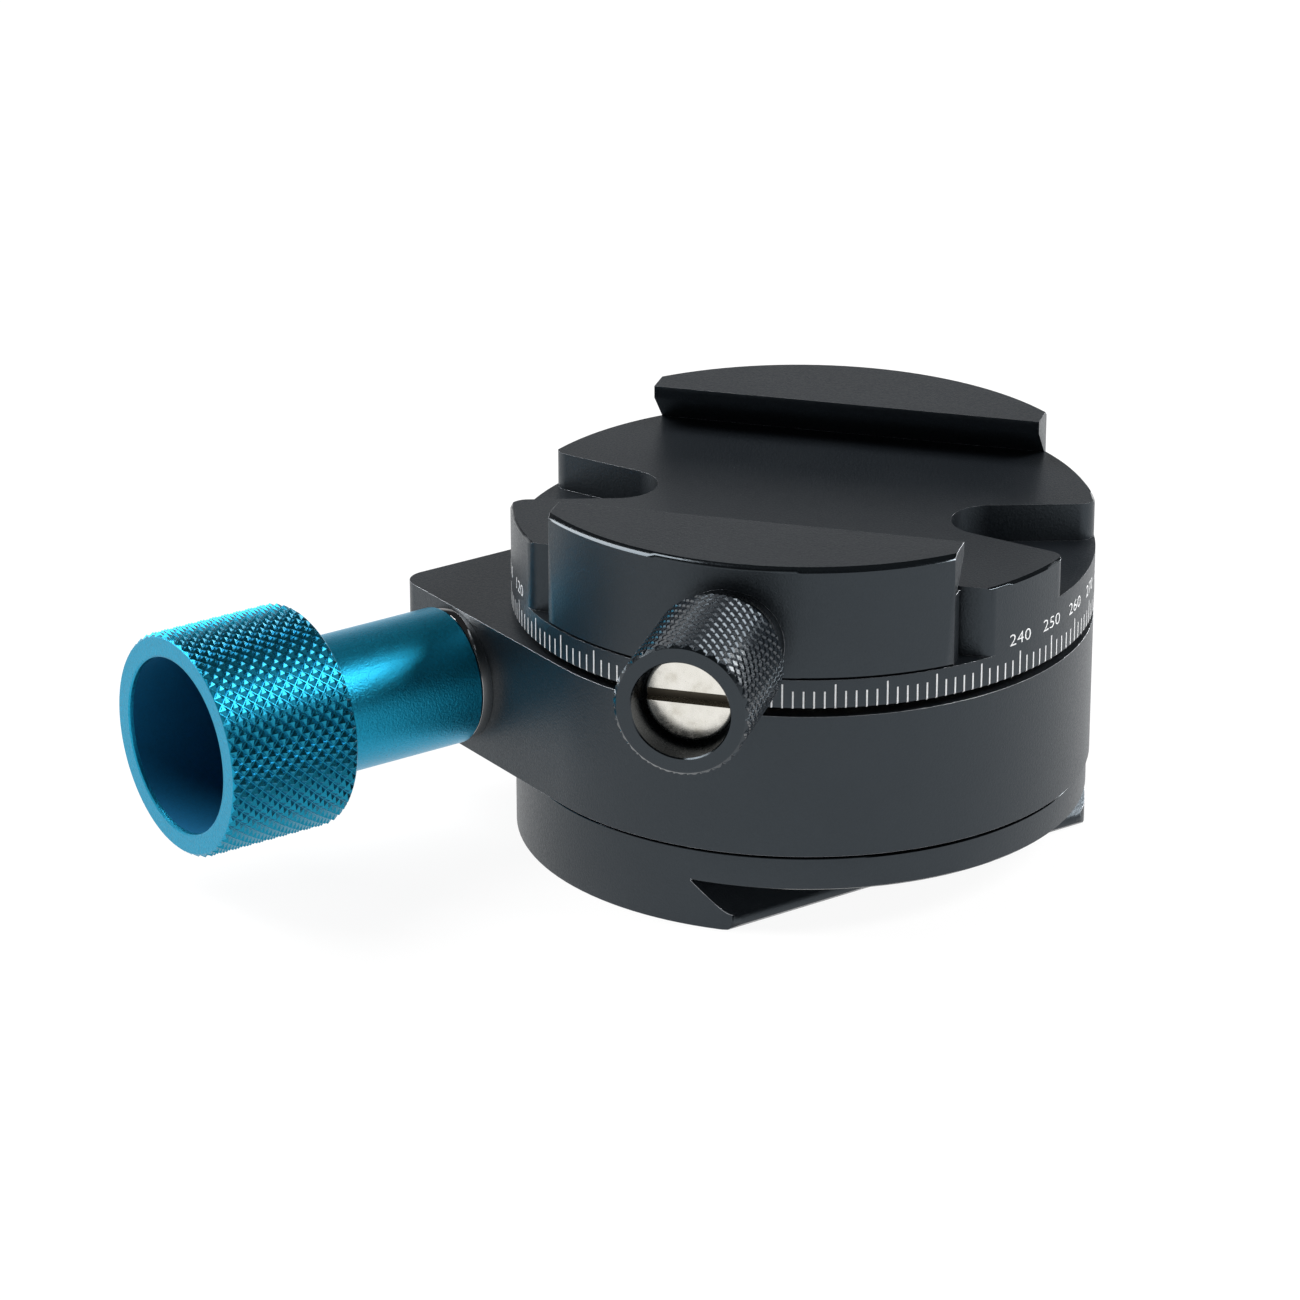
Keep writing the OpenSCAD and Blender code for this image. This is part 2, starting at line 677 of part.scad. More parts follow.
base_plate();
tripod_insert();
base_screws();
body_housing();
bearing_outer_race();
bearing_balls();
thrust_ring();
pan_bush();
front_worm_bush();
rear_worm_bush();
worm_thrust_washers();
preload_spring();
worm_ring_nut();
knob_washer();
dial_platform();
worm_wheel();
wheel_screws();
wheel_washer();
bearing_inner_race();
jaw_guide_pins();
worm_shaft();
worm();
drive_knob();
knob_screw();
sliding_jaw();
jaw_springs();
clamp_knob();
clamp_screw();
clamp_washer();
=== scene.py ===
"""Looks of the panoramic tripod head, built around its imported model. Sizes are in millimetres,
and MM turns them into metres."""

import math

import bpy
from mathutils import Matrix, Vector


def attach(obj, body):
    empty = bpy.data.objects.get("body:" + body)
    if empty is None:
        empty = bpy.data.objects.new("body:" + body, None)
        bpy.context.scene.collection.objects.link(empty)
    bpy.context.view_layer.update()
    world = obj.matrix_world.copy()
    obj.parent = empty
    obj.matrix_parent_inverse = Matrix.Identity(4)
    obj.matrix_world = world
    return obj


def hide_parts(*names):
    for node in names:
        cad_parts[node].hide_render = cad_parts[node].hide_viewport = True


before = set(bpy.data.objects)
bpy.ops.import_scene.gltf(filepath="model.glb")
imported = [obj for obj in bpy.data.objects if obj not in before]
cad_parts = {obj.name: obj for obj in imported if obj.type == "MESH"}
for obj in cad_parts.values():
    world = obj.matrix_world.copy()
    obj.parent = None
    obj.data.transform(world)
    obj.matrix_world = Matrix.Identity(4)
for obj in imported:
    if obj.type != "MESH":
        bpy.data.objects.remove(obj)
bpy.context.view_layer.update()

MM = 0.001
BASE_TURN = math.radians(-39.4)  # turn of the base and housing under the platform
PLATFORM_R = 30.0
RING_LOW = 24.6  # underside of the scale ring
RING_EDGE = 0.2  # bevel at the ring's lower edge
WORM_OFFSET = 19.6  # drive axis from the pan axis
WORM_Z = 16.6  # height of the drive axis
CLAMP_Z = 31.2  # height of the clamp screw's axis
SCREW_SEAT = 41.8  # where the clamp screw's head sits, from the pan axis
CHAMFER_MAX = 0.7  # sloping faces lower than this are chamfers
CHAMFER_SLOPE = (0.35, 0.93)  # the least and most upward share of a chamfer's normal
SCALE_TURN = 0.4  # degrees from +X to the nearest line of the scale
PROUD = 0.012  # how far paint stands out of the metal
PAINT_T = 0.04  # thickness of the painted marks
KNURL_PITCH = 1.4  # length of a knurl's diamonds along the bar
KNURL_OVER = 0.7  # how far a knurl runs past both ends of its knob's head, to be cut off
TOOL_ROOM = 0.1  # how far a knob's outline stands outside the tips of its knurl


# ---- Modelling helpers ----


def deselect():
    if bpy.context.mode != "OBJECT":
        bpy.ops.object.mode_set(mode="OBJECT")
    bpy.ops.object.select_all(action="DESELECT")


def pick(piece):
    deselect()
    piece.select_set(True)
    bpy.context.view_layer.objects.active = piece


def edit(piece, mode="VERT"):
    pick(piece)
    bpy.ops.object.mode_set(mode="EDIT")
    bpy.ops.mesh.select_mode(type=mode)


def select_vertices(piece, wanted):
    """Leaves the piece in edit mode with the vertices selected that wanted() picks."""
    edit(piece)
    bpy.ops.mesh.select_all(action="DESELECT")
    bpy.ops.object.mode_set(mode="OBJECT")
    for vertex in piece.data.vertices:
        vertex.select = wanted(vertex)
    bpy.ops.object.mode_set(mode="EDIT")


def apply_modifiers(piece):
    pick(piece)
    for modifier in list(piece.modifiers):
        bpy.ops.object.modifier_apply(modifier=modifier.name)


def place(piece, matrix):
    """Puts a piece where it belongs and leaves its place in its mesh."""
    piece.data.transform(matrix @ piece.matrix_world)
    piece.matrix_world = Matrix.Identity(4)


def join(first, *others):
    pick(first)
    for other in others:
        other.select_set(True)
    bpy.ops.object.join()
    return first


def finish_piece(piece, name, body, slot, *nodes):
    piece.name = name
    piece.data.name = name
    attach(piece, body)
    if nodes:
        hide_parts(*nodes)


def along(angle, offset, height):
    """The frame of an axis that leaves the pan axis sideways: local +Z points outwards."""
    turn = Matrix.Rotation(angle, 4, "Z")
    move = Matrix.Translation((offset * MM, 0, height * MM))
    return turn @ move @ Matrix.Rotation(math.pi / 2, 4, "X")


DRIVE = along(BASE_TURN, -WORM_OFFSET, WORM_Z)
CLAMP = along(0, 0, CLAMP_Z)


def turned(profile, sides):
    """A body of revolution about Z: a circle extruded from one (radius, height) to the next.
    A profile that ends where it began is a ring, and a radius of 0 closes a pole."""
    least = 1e-3  # a pole is first drawn with this radius
    deselect()
    (radius, height), *further = [(max(r, least), z) for r, z in profile]
    bpy.ops.mesh.primitive_circle_add(
        vertices=sides, radius=radius * MM, location=(0, 0, height * MM), fill_type="NOTHING"
    )
    piece = bpy.context.object
    place(piece, Matrix.Identity(4))
    edit(piece)
    bpy.ops.mesh.select_all(action="SELECT")
    for next_radius, next_height in further:
        bpy.ops.mesh.extrude_region_move(
            TRANSFORM_OT_translate={"value": (0, 0, (next_height - height) * MM)}
        )
        share = next_radius / radius
        bpy.ops.transform.resize(value=(share, share, 1), center_override=(0, 0, next_height * MM))
        radius, height = next_radius, next_height
    bpy.ops.mesh.select_all(action="SELECT")
    bpy.ops.mesh.remove_doubles(threshold=4 * least * MM)
    bpy.ops.mesh.normals_make_consistent(inside=False)
    bpy.ops.object.mode_set(mode="OBJECT")
    return piece


def soften(piece, width, segments, angle=30, edge_slot=0):
    """Rounds every edge sharper than the angle, and keeps flat faces flat in shading."""
    bevel = piece.modifiers.new("edges", "BEVEL")
    bevel.width = width * MM
    bevel.segments = segments
    bevel.limit_method = "ANGLE"
    bevel.angle_limit = math.radians(angle)
    bevel.use_clamp_overlap = True
    bevel.miter_outer = "MITER_ARC"
    bevel.material = edge_slot
    apply_modifiers(piece)
    pick(piece)
    bpy.ops.object.shade_smooth_by_angle(angle=math.radians(40))
    weighted = piece.modifiers.new("weighted", "WEIGHTED_NORMAL")
    weighted.keep_sharp = True
    weighted.weight = 80
    apply_modifiers(piece)


def machined(node, materials, width):
    """A finished copy of a milled CAD part: clean faces, and edges softened by the width. The
    materials are for its faces, for the softened edges (a lighter finish painted as a highlight)
    and for the chamfers."""
    piece = bpy.data.objects.new(node + "_finished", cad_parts[node].data.copy())
    bpy.context.scene.collection.objects.link(piece)
    edit(piece)
    bpy.ops.mesh.select_all(action="SELECT")
    bpy.ops.mesh.remove_doubles(threshold=0.002 * MM)
    bpy.ops.mesh.dissolve_limited(angle_limit=math.radians(0.8))
    bpy.ops.object.mode_set(mode="OBJECT")
    dress(piece, *materials)
    shallow, steep = CHAMFER_SLOPE
    for face in piece.data.polygons:
        heights = [piece.data.vertices[index].co.z for index in face.vertices]
        narrow = max(heights) - min(heights) < CHAMFER_MAX * MM
        face.material_index = 2 if narrow and shallow < abs(face.normal.z) < steep else 0
    soften(piece, width, segments=3, angle=50, edge_slot=1)
    return piece


def knurled_bar(tip, valley, around, groove, flat, low, high, tail):
    """A bar with a diamond knurl from height low to high, plain from tail up to low: rings of
    points lie alternately on the tips and in the crossings of the grooves. Around counts the
    tips of a ring, groove is the width of the grooves' flat bottoms, and flat is the share of
    each diamond that its flat top takes."""
    step = KNURL_PITCH / 2
    peak = valley + (tip - valley) / (1 - flat)
    rows = round((high - low) / step)
    profile = [(valley, tail)] + [(valley, low + row * step) for row in range(rows + 1)]
    bar = turned(profile, sides=2 * around)

    def is_tip(vertex):
        column = round(math.atan2(vertex.co.x, vertex.co.y) / (math.pi / around))
        row = (vertex.co.z / MM - low) / step
        return row > -0.5 and (column + round(row)) % 2 == 0

    def is_raised(vertex):
        return math.hypot(vertex.co.x, vertex.co.y) > (peak + valley) / 2 * MM

    def is_groove(edge):
        ends = [bar.data.vertices[index].co / MM for index in edge.vertices]
        deep = all(math.hypot(end.x, end.y) < (tip + valley) / 2 for end in ends)
        knurled = min(end.z for end in ends) > low - step / 2
        return deep and knurled and abs(ends[0].z - ends[1].z) > step / 2

    select_vertices(bar, is_tip)
    share = peak / valley
    bpy.ops.transform.resize(value=(share, share, 1), center_override=(0, 0, 0))
    bpy.ops.mesh.select_all(action="SELECT")
    bpy.ops.mesh.quads_convert_to_tris(quad_method="SHORTEST_DIAGONAL")
    if flat > 0:
        select_vertices(bar, is_raised)
        bpy.ops.mesh.bevel(
            offset_type="PERCENT", offset_pct=100 * flat, segments=1, affect="VERTICES"
        )
    edit(bar, "EDGE")
    bpy.ops.mesh.select_all(action="DESELECT")
    bpy.ops.object.mode_set(mode="OBJECT")
    for edge in bar.data.edges:
        edge.select = is_groove(edge)
    bpy.ops.object.mode_set(mode="EDIT")
    bpy.ops.mesh.bevel(offset=groove / 2 * MM, segments=1, affect="EDGES")
    bpy.ops.mesh.select_all(action="DESELECT")
    bpy.ops.mesh.select_non_manifold()
    bpy.ops.mesh.fill_holes(sides=0)
    bpy.ops.mesh.select_all(action="SELECT")
    bpy.ops.mesh.normals_make_consistent(inside=False)
    bpy.ops.object.mode_set(mode="OBJECT")
    return bar


def combine(piece, other, operation):
    """Cuts a solid by another one. Each face keeps the material of the solid it comes from."""
    cut = piece.modifiers.new("cut", "BOOLEAN")
    cut.operation = operation
    cut.solver = "EXACT"
    cut.material_mode = "TRANSFER"
    cut.object = other
    apply_modifiers(piece)
    bpy.data.objects.remove(other)


# ---- Materials ----


def material(name, base, metallic, roughness, **sockets):
    """A Principled material; sockets are further inputs by name, with spaces as underscores."""
    made = bpy.data.materials.new(name)
    made.use_nodes = True
    shader = made.node_tree.nodes["Principled BSDF"]
    shader.inputs["Base Color"].default_value = (*base, 1)
    shader.inputs["Metallic"].default_value = metallic
    shader.inputs["Roughness"].default_value = roughness
    for socket, value in sockets.items():
        shader.inputs[socket.replace("_", " ")].default_value = value
    return made


def add(made, kind, **values):
    node = made.node_tree.nodes.new("ShaderNode" + kind)
    for key, value in values.items():
        if key in node.inputs:
            node.inputs[key].default_value = value
        else:
            setattr(node, key, value)
    return node


def link(made, source, target):
    made.node_tree.links.new(source, target)


def noise(made, scale, detail, stretch=(1, 1, 1)):
    """Noise on the object's own coordinates; scale is features per metre."""
    coordinates = add(made, "TexCoord")
    mapping = add(made, "Mapping")
    mapping.inputs["Scale"].default_value = stretch
    link(made, coordinates.outputs["Object"], mapping.inputs["Vector"])
    node = add(made, "TexNoise", Scale=scale, Detail=detail, Roughness=0.6)
    link(made, mapping.outputs["Vector"], node.inputs["Vector"])
    return node.outputs["Fac"]


def ramp(made, source, *stops):
    """A colour ramp; stops are (place, grey or colour)."""
    node = add(made, "ValToRGB")
    elements = node.color_ramp.elements
    while len(elements) < len(stops):
        elements.new(0.5)
    for element, (position, shade) in zip(elements, stops):
        element.position = position
        element.color = (*shade, 1) if isinstance(shade, tuple) else (shade, shade, shade, 1)
    link(made, source, node.inputs["Fac"])
    return node.outputs["Color"]


def scaled(colour, share):
    return tuple(min(1, share * part) for part in colour)


def feed(made, socket, output):
    """Leads a node's output into a socket of the material's Principled shader."""
    link(made, output, made.node_tree.nodes["Principled BSDF"].inputs[socket])


def grain(made, source, strength, depth):
    """Bump of the given depth in millimetres."""
    bump = add(made, "Bump", Strength=strength, Distance=depth * MM)
    link(made, source, bump.inputs["Height"])
    feed(made, "Normal", bump.outputs["Normal"])


def blasted_black(name, dark, light, roughness, depth):
    """Bead-blasted black anodising: fine grain of the given depth, and a slow change of tone."""
    made = material(
        name, dark, metallic=0, roughness=roughness, IOR=1.6, Specular_Tint=(0.76, 0.89, 1.0, 1))
    slow = noise(made, scale=90, detail=2)
    feed(made, "Base Color", ramp(made, slow, (0.35, dark), (0.7, light)))
    fine = noise(made, scale=4400, detail=4)
    gloss = ramp(made, fine, (0.25, roughness - 0.1), (0.75, roughness + 0.1))
    feed(made, "Roughness", gloss)
    grain(made, fine, strength=0.6, depth=depth)
    return made


def bright_edge():
    """Painted highlight: a lighter, smoother metallic finish for the softened edges, so that they
    show as bright lines.
    """
    made = material("painted_edge_highlight", (0.5, 0.52, 0.54), metallic=0.9, roughness=0.35)
    highlight_patches = noise(made, scale=1600, detail=4)
    tone = ramp(made, highlight_patches, (0.3, (0.2, 0.21, 0.23)), (0.65, (0.55, 0.57, 0.6)))
    feed(made, "Base Color", tone)
    return made


def blasted_teal(name, base, roughness, depth, metallic=0.9):
    """Satin teal anodising with a grain of the given depth from the blasting."""
    made = material(name, base, metallic, roughness, IOR=1.5)
    fine = noise(made, scale=4200, detail=4)
    tone = ramp(made, fine, (0.3, scaled(base, 0.82)), (0.7, scaled(base, 1.15)))
    feed(made, "Base Color", tone)
    gloss = ramp(made, fine, (0.25, roughness - 0.06), (0.75, roughness + 0.08))
    feed(made, "Roughness", gloss)
    grain(made, fine, strength=0.6, depth=depth)
    return made


def steel(name, base, roughness, scratch=0.06, metallic=1.0):
    """Turned or ground metal with faint tool marks."""
    made = material(name, base, metallic, roughness)
    marks = noise(made, scale=900, detail=4, stretch=(1, 1, 9))
    smooth = max(0.02, roughness - scratch)
    feed(made, "Roughness", ramp(made, marks, (0.3, smooth), (0.7, roughness + scratch)))
    grain(made, marks, strength=0.15, depth=0.01)
    return made


def worn_nickel():
    """Nickel plate with dulled patches from use."""
    made = material("worn_nickel", (0.78, 0.75, 0.69), metallic=1, roughness=0.2)
    dull, plain, clean = (0.6, 0.57, 0.5), (0.76, 0.74, 0.68), (0.82, 0.8, 0.75)
    patches = noise(made, scale=500, detail=4)
    feed(made, "Base Color", ramp(made, patches, (0.25, dull), (0.45, plain), (0.75, clean)))
    rub = noise(made, scale=1500, detail=4)
    feed(made, "Roughness", ramp(made, rub, (0.3, 0.2), (0.7, 0.32)))
    grain(made, rub, strength=0.15, depth=0.006)
    return made


def plain_finish(name, base, spread, scale):
    """A finish without metal, with a slow change of tone and a faint bump."""
    made = material(name, base, metallic=0, roughness=0.5)
    tone = noise(made, scale, detail=3)
    low, high = scaled(base, 1 - spread), scaled(base, 1 + spread)
    feed(made, "Base Color", ramp(made, tone, (0.3, low), (0.7, high)))
    grain(made, tone, strength=0.2, depth=0.01)
    return made


BLACK = blasted_black(
    "black_anodised", (0.004, 0.0052, 0.007), (0.006, 0.0075, 0.0095), roughness=0.4, depth=0.05)
BLACK_CUT = blasted_black(
    "black_cut", (0.003, 0.004, 0.005), (0.004, 0.005, 0.006), roughness=0.16, depth=0.003)
# Painted shade: a darker black for the clamp knob's recess.
BLACK_RECESS_SHADE = blasted_black(
    "black_recess_shade", (0.002, 0.0026, 0.0035), (0.003, 0.0036, 0.0045), roughness=0.3, depth=0.01)
BLACK_KNURL = blasted_black(
    "black_knurl", (0.006, 0.008, 0.011), (0.01, 0.013, 0.017), roughness=0.22, depth=0.012)
# Painted highlight: the softened edges of the milled parts get this lighter finish.
BLACK_EDGE_HIGHLIGHT = bright_edge()
TEAL = blasted_teal("teal_anodised", (0.012, 0.31, 0.5), roughness=0.32, depth=0.09)
TEAL_KNURL = blasted_teal(
    "teal_knurl", (0.012, 0.23, 0.36), roughness=0.27, depth=0.01, metallic=0.95)
# Painted shade: a darker teal for the hollow of the drive knob's cup.
TEAL_CUP_SHADE = blasted_teal(
    "teal_cup_shade", (0.006, 0.13, 0.27), roughness=0.75, depth=0.03, metallic=0.85)
POLISHED = steel("polished_washer", (0.5, 0.5, 0.5), roughness=0.05, scratch=0.02)
STEEL = steel("ground_steel", (0.62, 0.63, 0.65), roughness=0.28)
DARK_STEEL = steel(
    "black_oxide", (0.05, 0.05, 0.055), roughness=0.42, scratch=0.08, metallic=0.8)
NICKEL = worn_nickel()
# Painted shade: a dark metal for the inside of the screw's slot.
NICKEL_SLOT_SHADE = steel("slot_shadow", (0.08, 0.07, 0.055), roughness=0.4, scratch=0.1)
BRONZE = steel("bronze", (0.55, 0.36, 0.16), roughness=0.32)
SLIDE = plain_finish("slide_plastic", (0.7, 0.66, 0.56), spread=0.08, scale=600)
PAINT = plain_finish("scale_paint", (0.8, 0.81, 0.82), spread=0.12, scale=5000)


def dress(piece, *materials):
    piece.data.materials.clear()
    for made in materials:
        piece.data.materials.append(made)


# ---- The milled bodies ----


def milled_bodies():
    """The four milled parts, each with the width of its softened edges."""
    rows = [
        ("base_plate", "dovetail_base", "base", 0.14),
        ("body_housing", "drive_housing", "base", 0.16),
        ("dial_platform", "turning_platform", "platform", 0.14),
        ("sliding_jaw", "clamp_jaw", "jaw", 0.15),
    ]
    for node, name, body, width in rows:
        piece = machined(node, (BLACK, BLACK_EDGE_HIGHLIGHT, BLACK_CUT), width)
        finish_piece(piece, name, body, "black_anodised", node)


# ---- Scale ----


def scale_marks():
    """White filled marks every 2 degrees, with longer ones every 10, that run down over the
    ring's lower bevel."""
    width, clear = 0.165, 0.02
    short_top, long_top = 26.5, 27.25
    wall = PLATFORM_R + PROUD
    foot = [(wall - RING_EDGE, RING_LOW + clear), (wall, RING_LOW + RING_EDGE)]
    short = mark([*foot, (wall, short_top)], width)
    repeat_round(short, count=180)
    long = mark([(wall, short_top), (wall, long_top)], width)
    repeat_round(long, count=36)
    marks = join(short, long)
    place(marks, Matrix.Rotation(math.radians(SCALE_TURN), 4, "Z"))
    dress(marks, PAINT)
    finish_piece(marks, "scale_marks", "platform", "scale_paint")


def mark(line, width):
    """One strip of paint up the wall at angle 0, from (radius, height) to the next."""
    deselect()
    bpy.ops.mesh.primitive_plane_add(size=1)
    strip = bpy.context.object
    select_vertices(strip, lambda vertex: vertex.co.x < 0)
    bpy.ops.mesh.delete(type="VERT")
    bpy.ops.object.mode_set(mode="OBJECT")
    radius, height = line[0]
    for vertex, side in zip(strip.data.vertices, (-0.5, 0.5)):
        vertex.co = (radius * MM, side * width * MM, height * MM)
    edit(strip)
    bpy.ops.mesh.select_all(action="SELECT")
    for next_radius, next_height in line[1:]:
        bpy.ops.mesh.extrude_region_move(TRANSFORM_OT_translate={
            "value": ((next_radius - radius) * MM, 0, (next_height - height) * MM)})
        radius, height = next_radius, next_height
    bpy.ops.mesh.select_all(action="SELECT")
    bpy.ops.mesh.normals_make_consistent(inside=False)
    bpy.ops.object.mode_set(mode="OBJECT")
    solid = strip.modifiers.new("thickness", "SOLIDIFY")
    solid.thickness = PAINT_T * MM
    solid.offset = 1 if strip.data.polygons[-1].normal.x < 0 else -1
    apply_modifiers(strip)
    return strip


def repeat_round(piece, count):
    """Repeats a piece evenly about the pan axis."""
    hub = bpy.data.objects.new("hub", None)
    bpy.context.scene.collection.objects.link(hub)
    hub.rotation_euler = (0, 0, math.tau / count)
    bpy.context.view_layer.update()
    array = piece.modifiers.new("round", "ARRAY")
    array.count = count
    array.use_relative_offset = False
    array.use_object_offset = True
    array.offset_object = hub
    apply_modifiers(piece)
    bpy.data.objects.remove(hub)


def scale_numbers():
    """A number over each long mark where the platform's wall stands above the ring."""
    from_right, from_left = -34.5, -145.5  # the sliding jaw takes the wall between these angles
    zero = 90 + SCALE_TURN
    made = []
    for value in range(0, 360, 10):
        angle = (value + zero + 180) % 360 - 180
        if angle > from_right or angle < from_left:
            made.append(number(str(value), math.radians(angle)))
    numbers = join(*made)
    dress(numbers, PAINT)
    finish_piece(numbers, "scale_numbers", "platform", "scale_paint")


def number(words, angle):
    """Flat letters laid round the platform's wall at an angle about the pan axis."""
    height, low, stroke, half_t = 1.8, 28.1, -0.015, 0.02
    spread = 1.2  # the letters are wider than the font's
    deselect()
    bpy.ops.object.text_add()
    text = bpy.context.object
    text.data.body = words
    text.data.align_x = "CENTER"
    text.data.size = height
    text.data.offset = stroke
    text.data.space_character = 1.02
    text.data.extrude = half_t
    text.data.resolution_u = 3
    pick(text)
    bpy.ops.object.convert(target="MESH")
    label = bpy.context.object
    for vertex in label.data.vertices:
        across, up, out = vertex.co
        turn = angle + spread * across / PLATFORM_R
        radius = (PLATFORM_R + PROUD - half_t + out) * MM
        vertex.co = (radius * math.cos(turn), radius * math.sin(turn), (low + up) * MM)
    return label


def index_mark():
    """The fixed mark that the scale is read against, on the far side of the housing."""
    wall = PLATFORM_R + PROUD
    piece = mark([(wall, 21.4), (wall, 23.55)], 0.25)
    place(piece, Matrix.Rotation(BASE_TURN + math.radians(90), 4, "Z"))
    dress(piece, PAINT)
    finish_piece(piece, "index_mark", "base", "scale_paint")


# ---- Knobs ----


def by_height(piece, made, low, high, reach):
    """Gives faces between two heights and within a radius another of the piece's materials."""
    slot = list(piece.data.materials).index(made)
    for face in piece.data.polygons:
        centre = face.center / MM
        if low < centre.z < high and math.hypot(centre.x, centre.y) < reach:
            face.material_index = slot


def knurled_knob(bar, outline, knurl, plain, inside):
    """A knob turned out of a knurled bar. Its materials are for the knurl, for the turned faces
    and for a hollow, made darker as painted shade, where by_height() puts the last one."""
    dress(bar, knurl)
    dress(outline, plain)
    combine(bar, outline, "INTERSECT")
    pick(bar)
    bpy.ops.object.shade_smooth_by_angle(angle=math.radians(25))
    bar.data.materials.append(inside)
    return bar


def drive_knob():
    """The teal knob: a shank, and a cupped head with a sharp knurl."""
    start, back, face = 31.3, 48.95, 63.6
    cup_floor, web_end = 52.6, 51.42
    shank, ring, cup, bore, screw_hole = 7.2, 11.18, 9.1, 2.54, 1.6
    tip, valley = 11.65, 11.2
    wide = tip + TOOL_ROOM
    outline = turned([
        (bore, start), (shank - 0.2, start), (shank, start + 0.2), (shank, back - 0.5),
        (shank + 0.5, back), (ring - 0.1, back), (wide, back + 0.6), (wide, face - (wide - ring)),
        (ring, face), (cup + 0.28, face), (cup + 0.08, face - 0.1), (cup, face - 0.45),
        (cup, cup_floor + 0.4), (cup - 0.4, cup_floor), (screw_hole, cup_floor),
        (screw_hole, web_end), (bore, web_end), (bore, start),
    ], sides=180)
    bar = knurled_bar(
        tip, valley, around=51, groove=0.08, flat=0,
        low=back - KNURL_OVER, high=face + KNURL_OVER, tail=start - 1,
    )
    knob = knurled_knob(bar, outline, TEAL_KNURL, TEAL, TEAL_CUP_SHADE)
    # Painted shade: the cup's hollow gets the darker teal.
    by_height(knob, TEAL_CUP_SHADE, low=cup_floor - 2, high=face - 0.5, reach=cup + 0.1)
    place(knob, DRIVE)
    finish_piece(knob, "drive_knob_turned", "drive", "teal_anodised", "drive_knob")


def clamp_knob():
    """The black knob: a neck, and a head with a flat-topped knurl and a recess for its screw."""
    start, back, face = 30.0, 33.6, 47.6
    neck, ring, recess, bore = 5.0, 6.38, 4.9, 2.52
    tip, valley = 6.72, 6.42
    wide = tip + TOOL_ROOM
    outline = turned([
        (bore, start), (neck, start), (neck, back), (ring, back), (wide, back + 0.45),
        (wide, face - (wide - ring)), (ring, face), (recess + 0.12, face), (recess, face - 0.15),
        (recess, SCREW_SEAT), (bore, SCREW_SEAT), (bore, start),
    ], sides=144)
    bar = knurled_bar(
        tip, valley, around=31, groove=0.06, flat=0.62,
        low=back - KNURL_OVER, high=face + KNURL_OVER, tail=start - 1,
    )
    knob = knurled_knob(bar, outline, BLACK_KNURL, BLACK_CUT, BLACK_RECESS_SHADE)
    # Painted shade: the recess round the screw gets the darker black.
    by_height(knob, BLACK_RECESS_SHADE, low=SCREW_SEAT - 1, high=face - 0.2, reach=recess + 0.05)
    place(knob, CLAMP)
    finish_piece(knob, "clamp_knob_turned", "clamp", "black_anodised", "clamp_knob")


def washer():
    bore, rim, low, high = 2.8, 7.0, 30.0, 31.2
    ring = turned([(bore, low), (rim, low), (rim, high), (bore, high), (bore, low)], sides=128)
    soften(ring, width=0.05, segments=2)
    dress(ring, POLISHED)
    place(ring, DRIVE)
    finish_piece(ring, "polished_washer", "base", "polished_steel", "knob_washer")


def slotted_screw():
    """A flat head with a rounded rim and a milled slot, painted dark inside as shade."""
    shaft, head, rim = 2.5, 4.55, 0.45
    tip, face = 7.0, 44.2
    slot_width, slot_depth = 1.3, 1.2
    rim_points = [(head - rim + rim * math.cos(a), face - rim + rim * math.sin(a))
                  for a in (math.radians(15 * step) for step in range(7))]
    shank_points = [(0, tip), (shaft, tip), (shaft, SCREW_SEAT), (head, SCREW_SEAT)]
    screw = turned([*shank_points, *rim_points, (0, face)], sides=128)
    bpy.ops.mesh.primitive_cube_add(size=MM, location=(0, 0, face * MM))
    slot = bpy.context.object
    slot.scale = (3 * head, slot_width, 2 * slot_depth)
    combine(screw, slot, "DIFFERENCE")
    dress(screw, NICKEL, NICKEL_SLOT_SHADE)
    soften(screw, width=0.07, segments=3)
    # Painted shade: the slot's walls and floor get the dark slot material.
    by_height(screw, NICKEL_SLOT_SHADE, low=face - slot_depth - 0.1, high=face - 0.12, reach=head - rim)
    place(screw, CLAMP)
    finish_piece(screw, "slotted_screw", "clamp", "nickel", "clamp_screw")


# ---- What stays as the frame has it ----


def plain_nodes():
    rows = {
        STEEL: ["tripod_insert", "bearing_outer_race", "bearing_inner_race", "bearing_balls",
                "jaw_guide_pins", "worm_shaft", "worm", "worm_thrust_washers", "clamp_washer",
                "jaw_springs", "preload_spring"],
        DARK_STEEL: ["base_screws", "wheel_screws", "knob_screw", "worm_ring_nut"],
        BRONZE: ["pan_bush", "front_worm_bush", "rear_worm_bush", "worm_wheel"],
        SLIDE: ["thrust_ring", "wheel_washer"],
    }
    for made, nodes in rows.items():
        for node in nodes:
            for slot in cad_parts[node].material_slots:
                slot.material = made


# ---- Studio ----


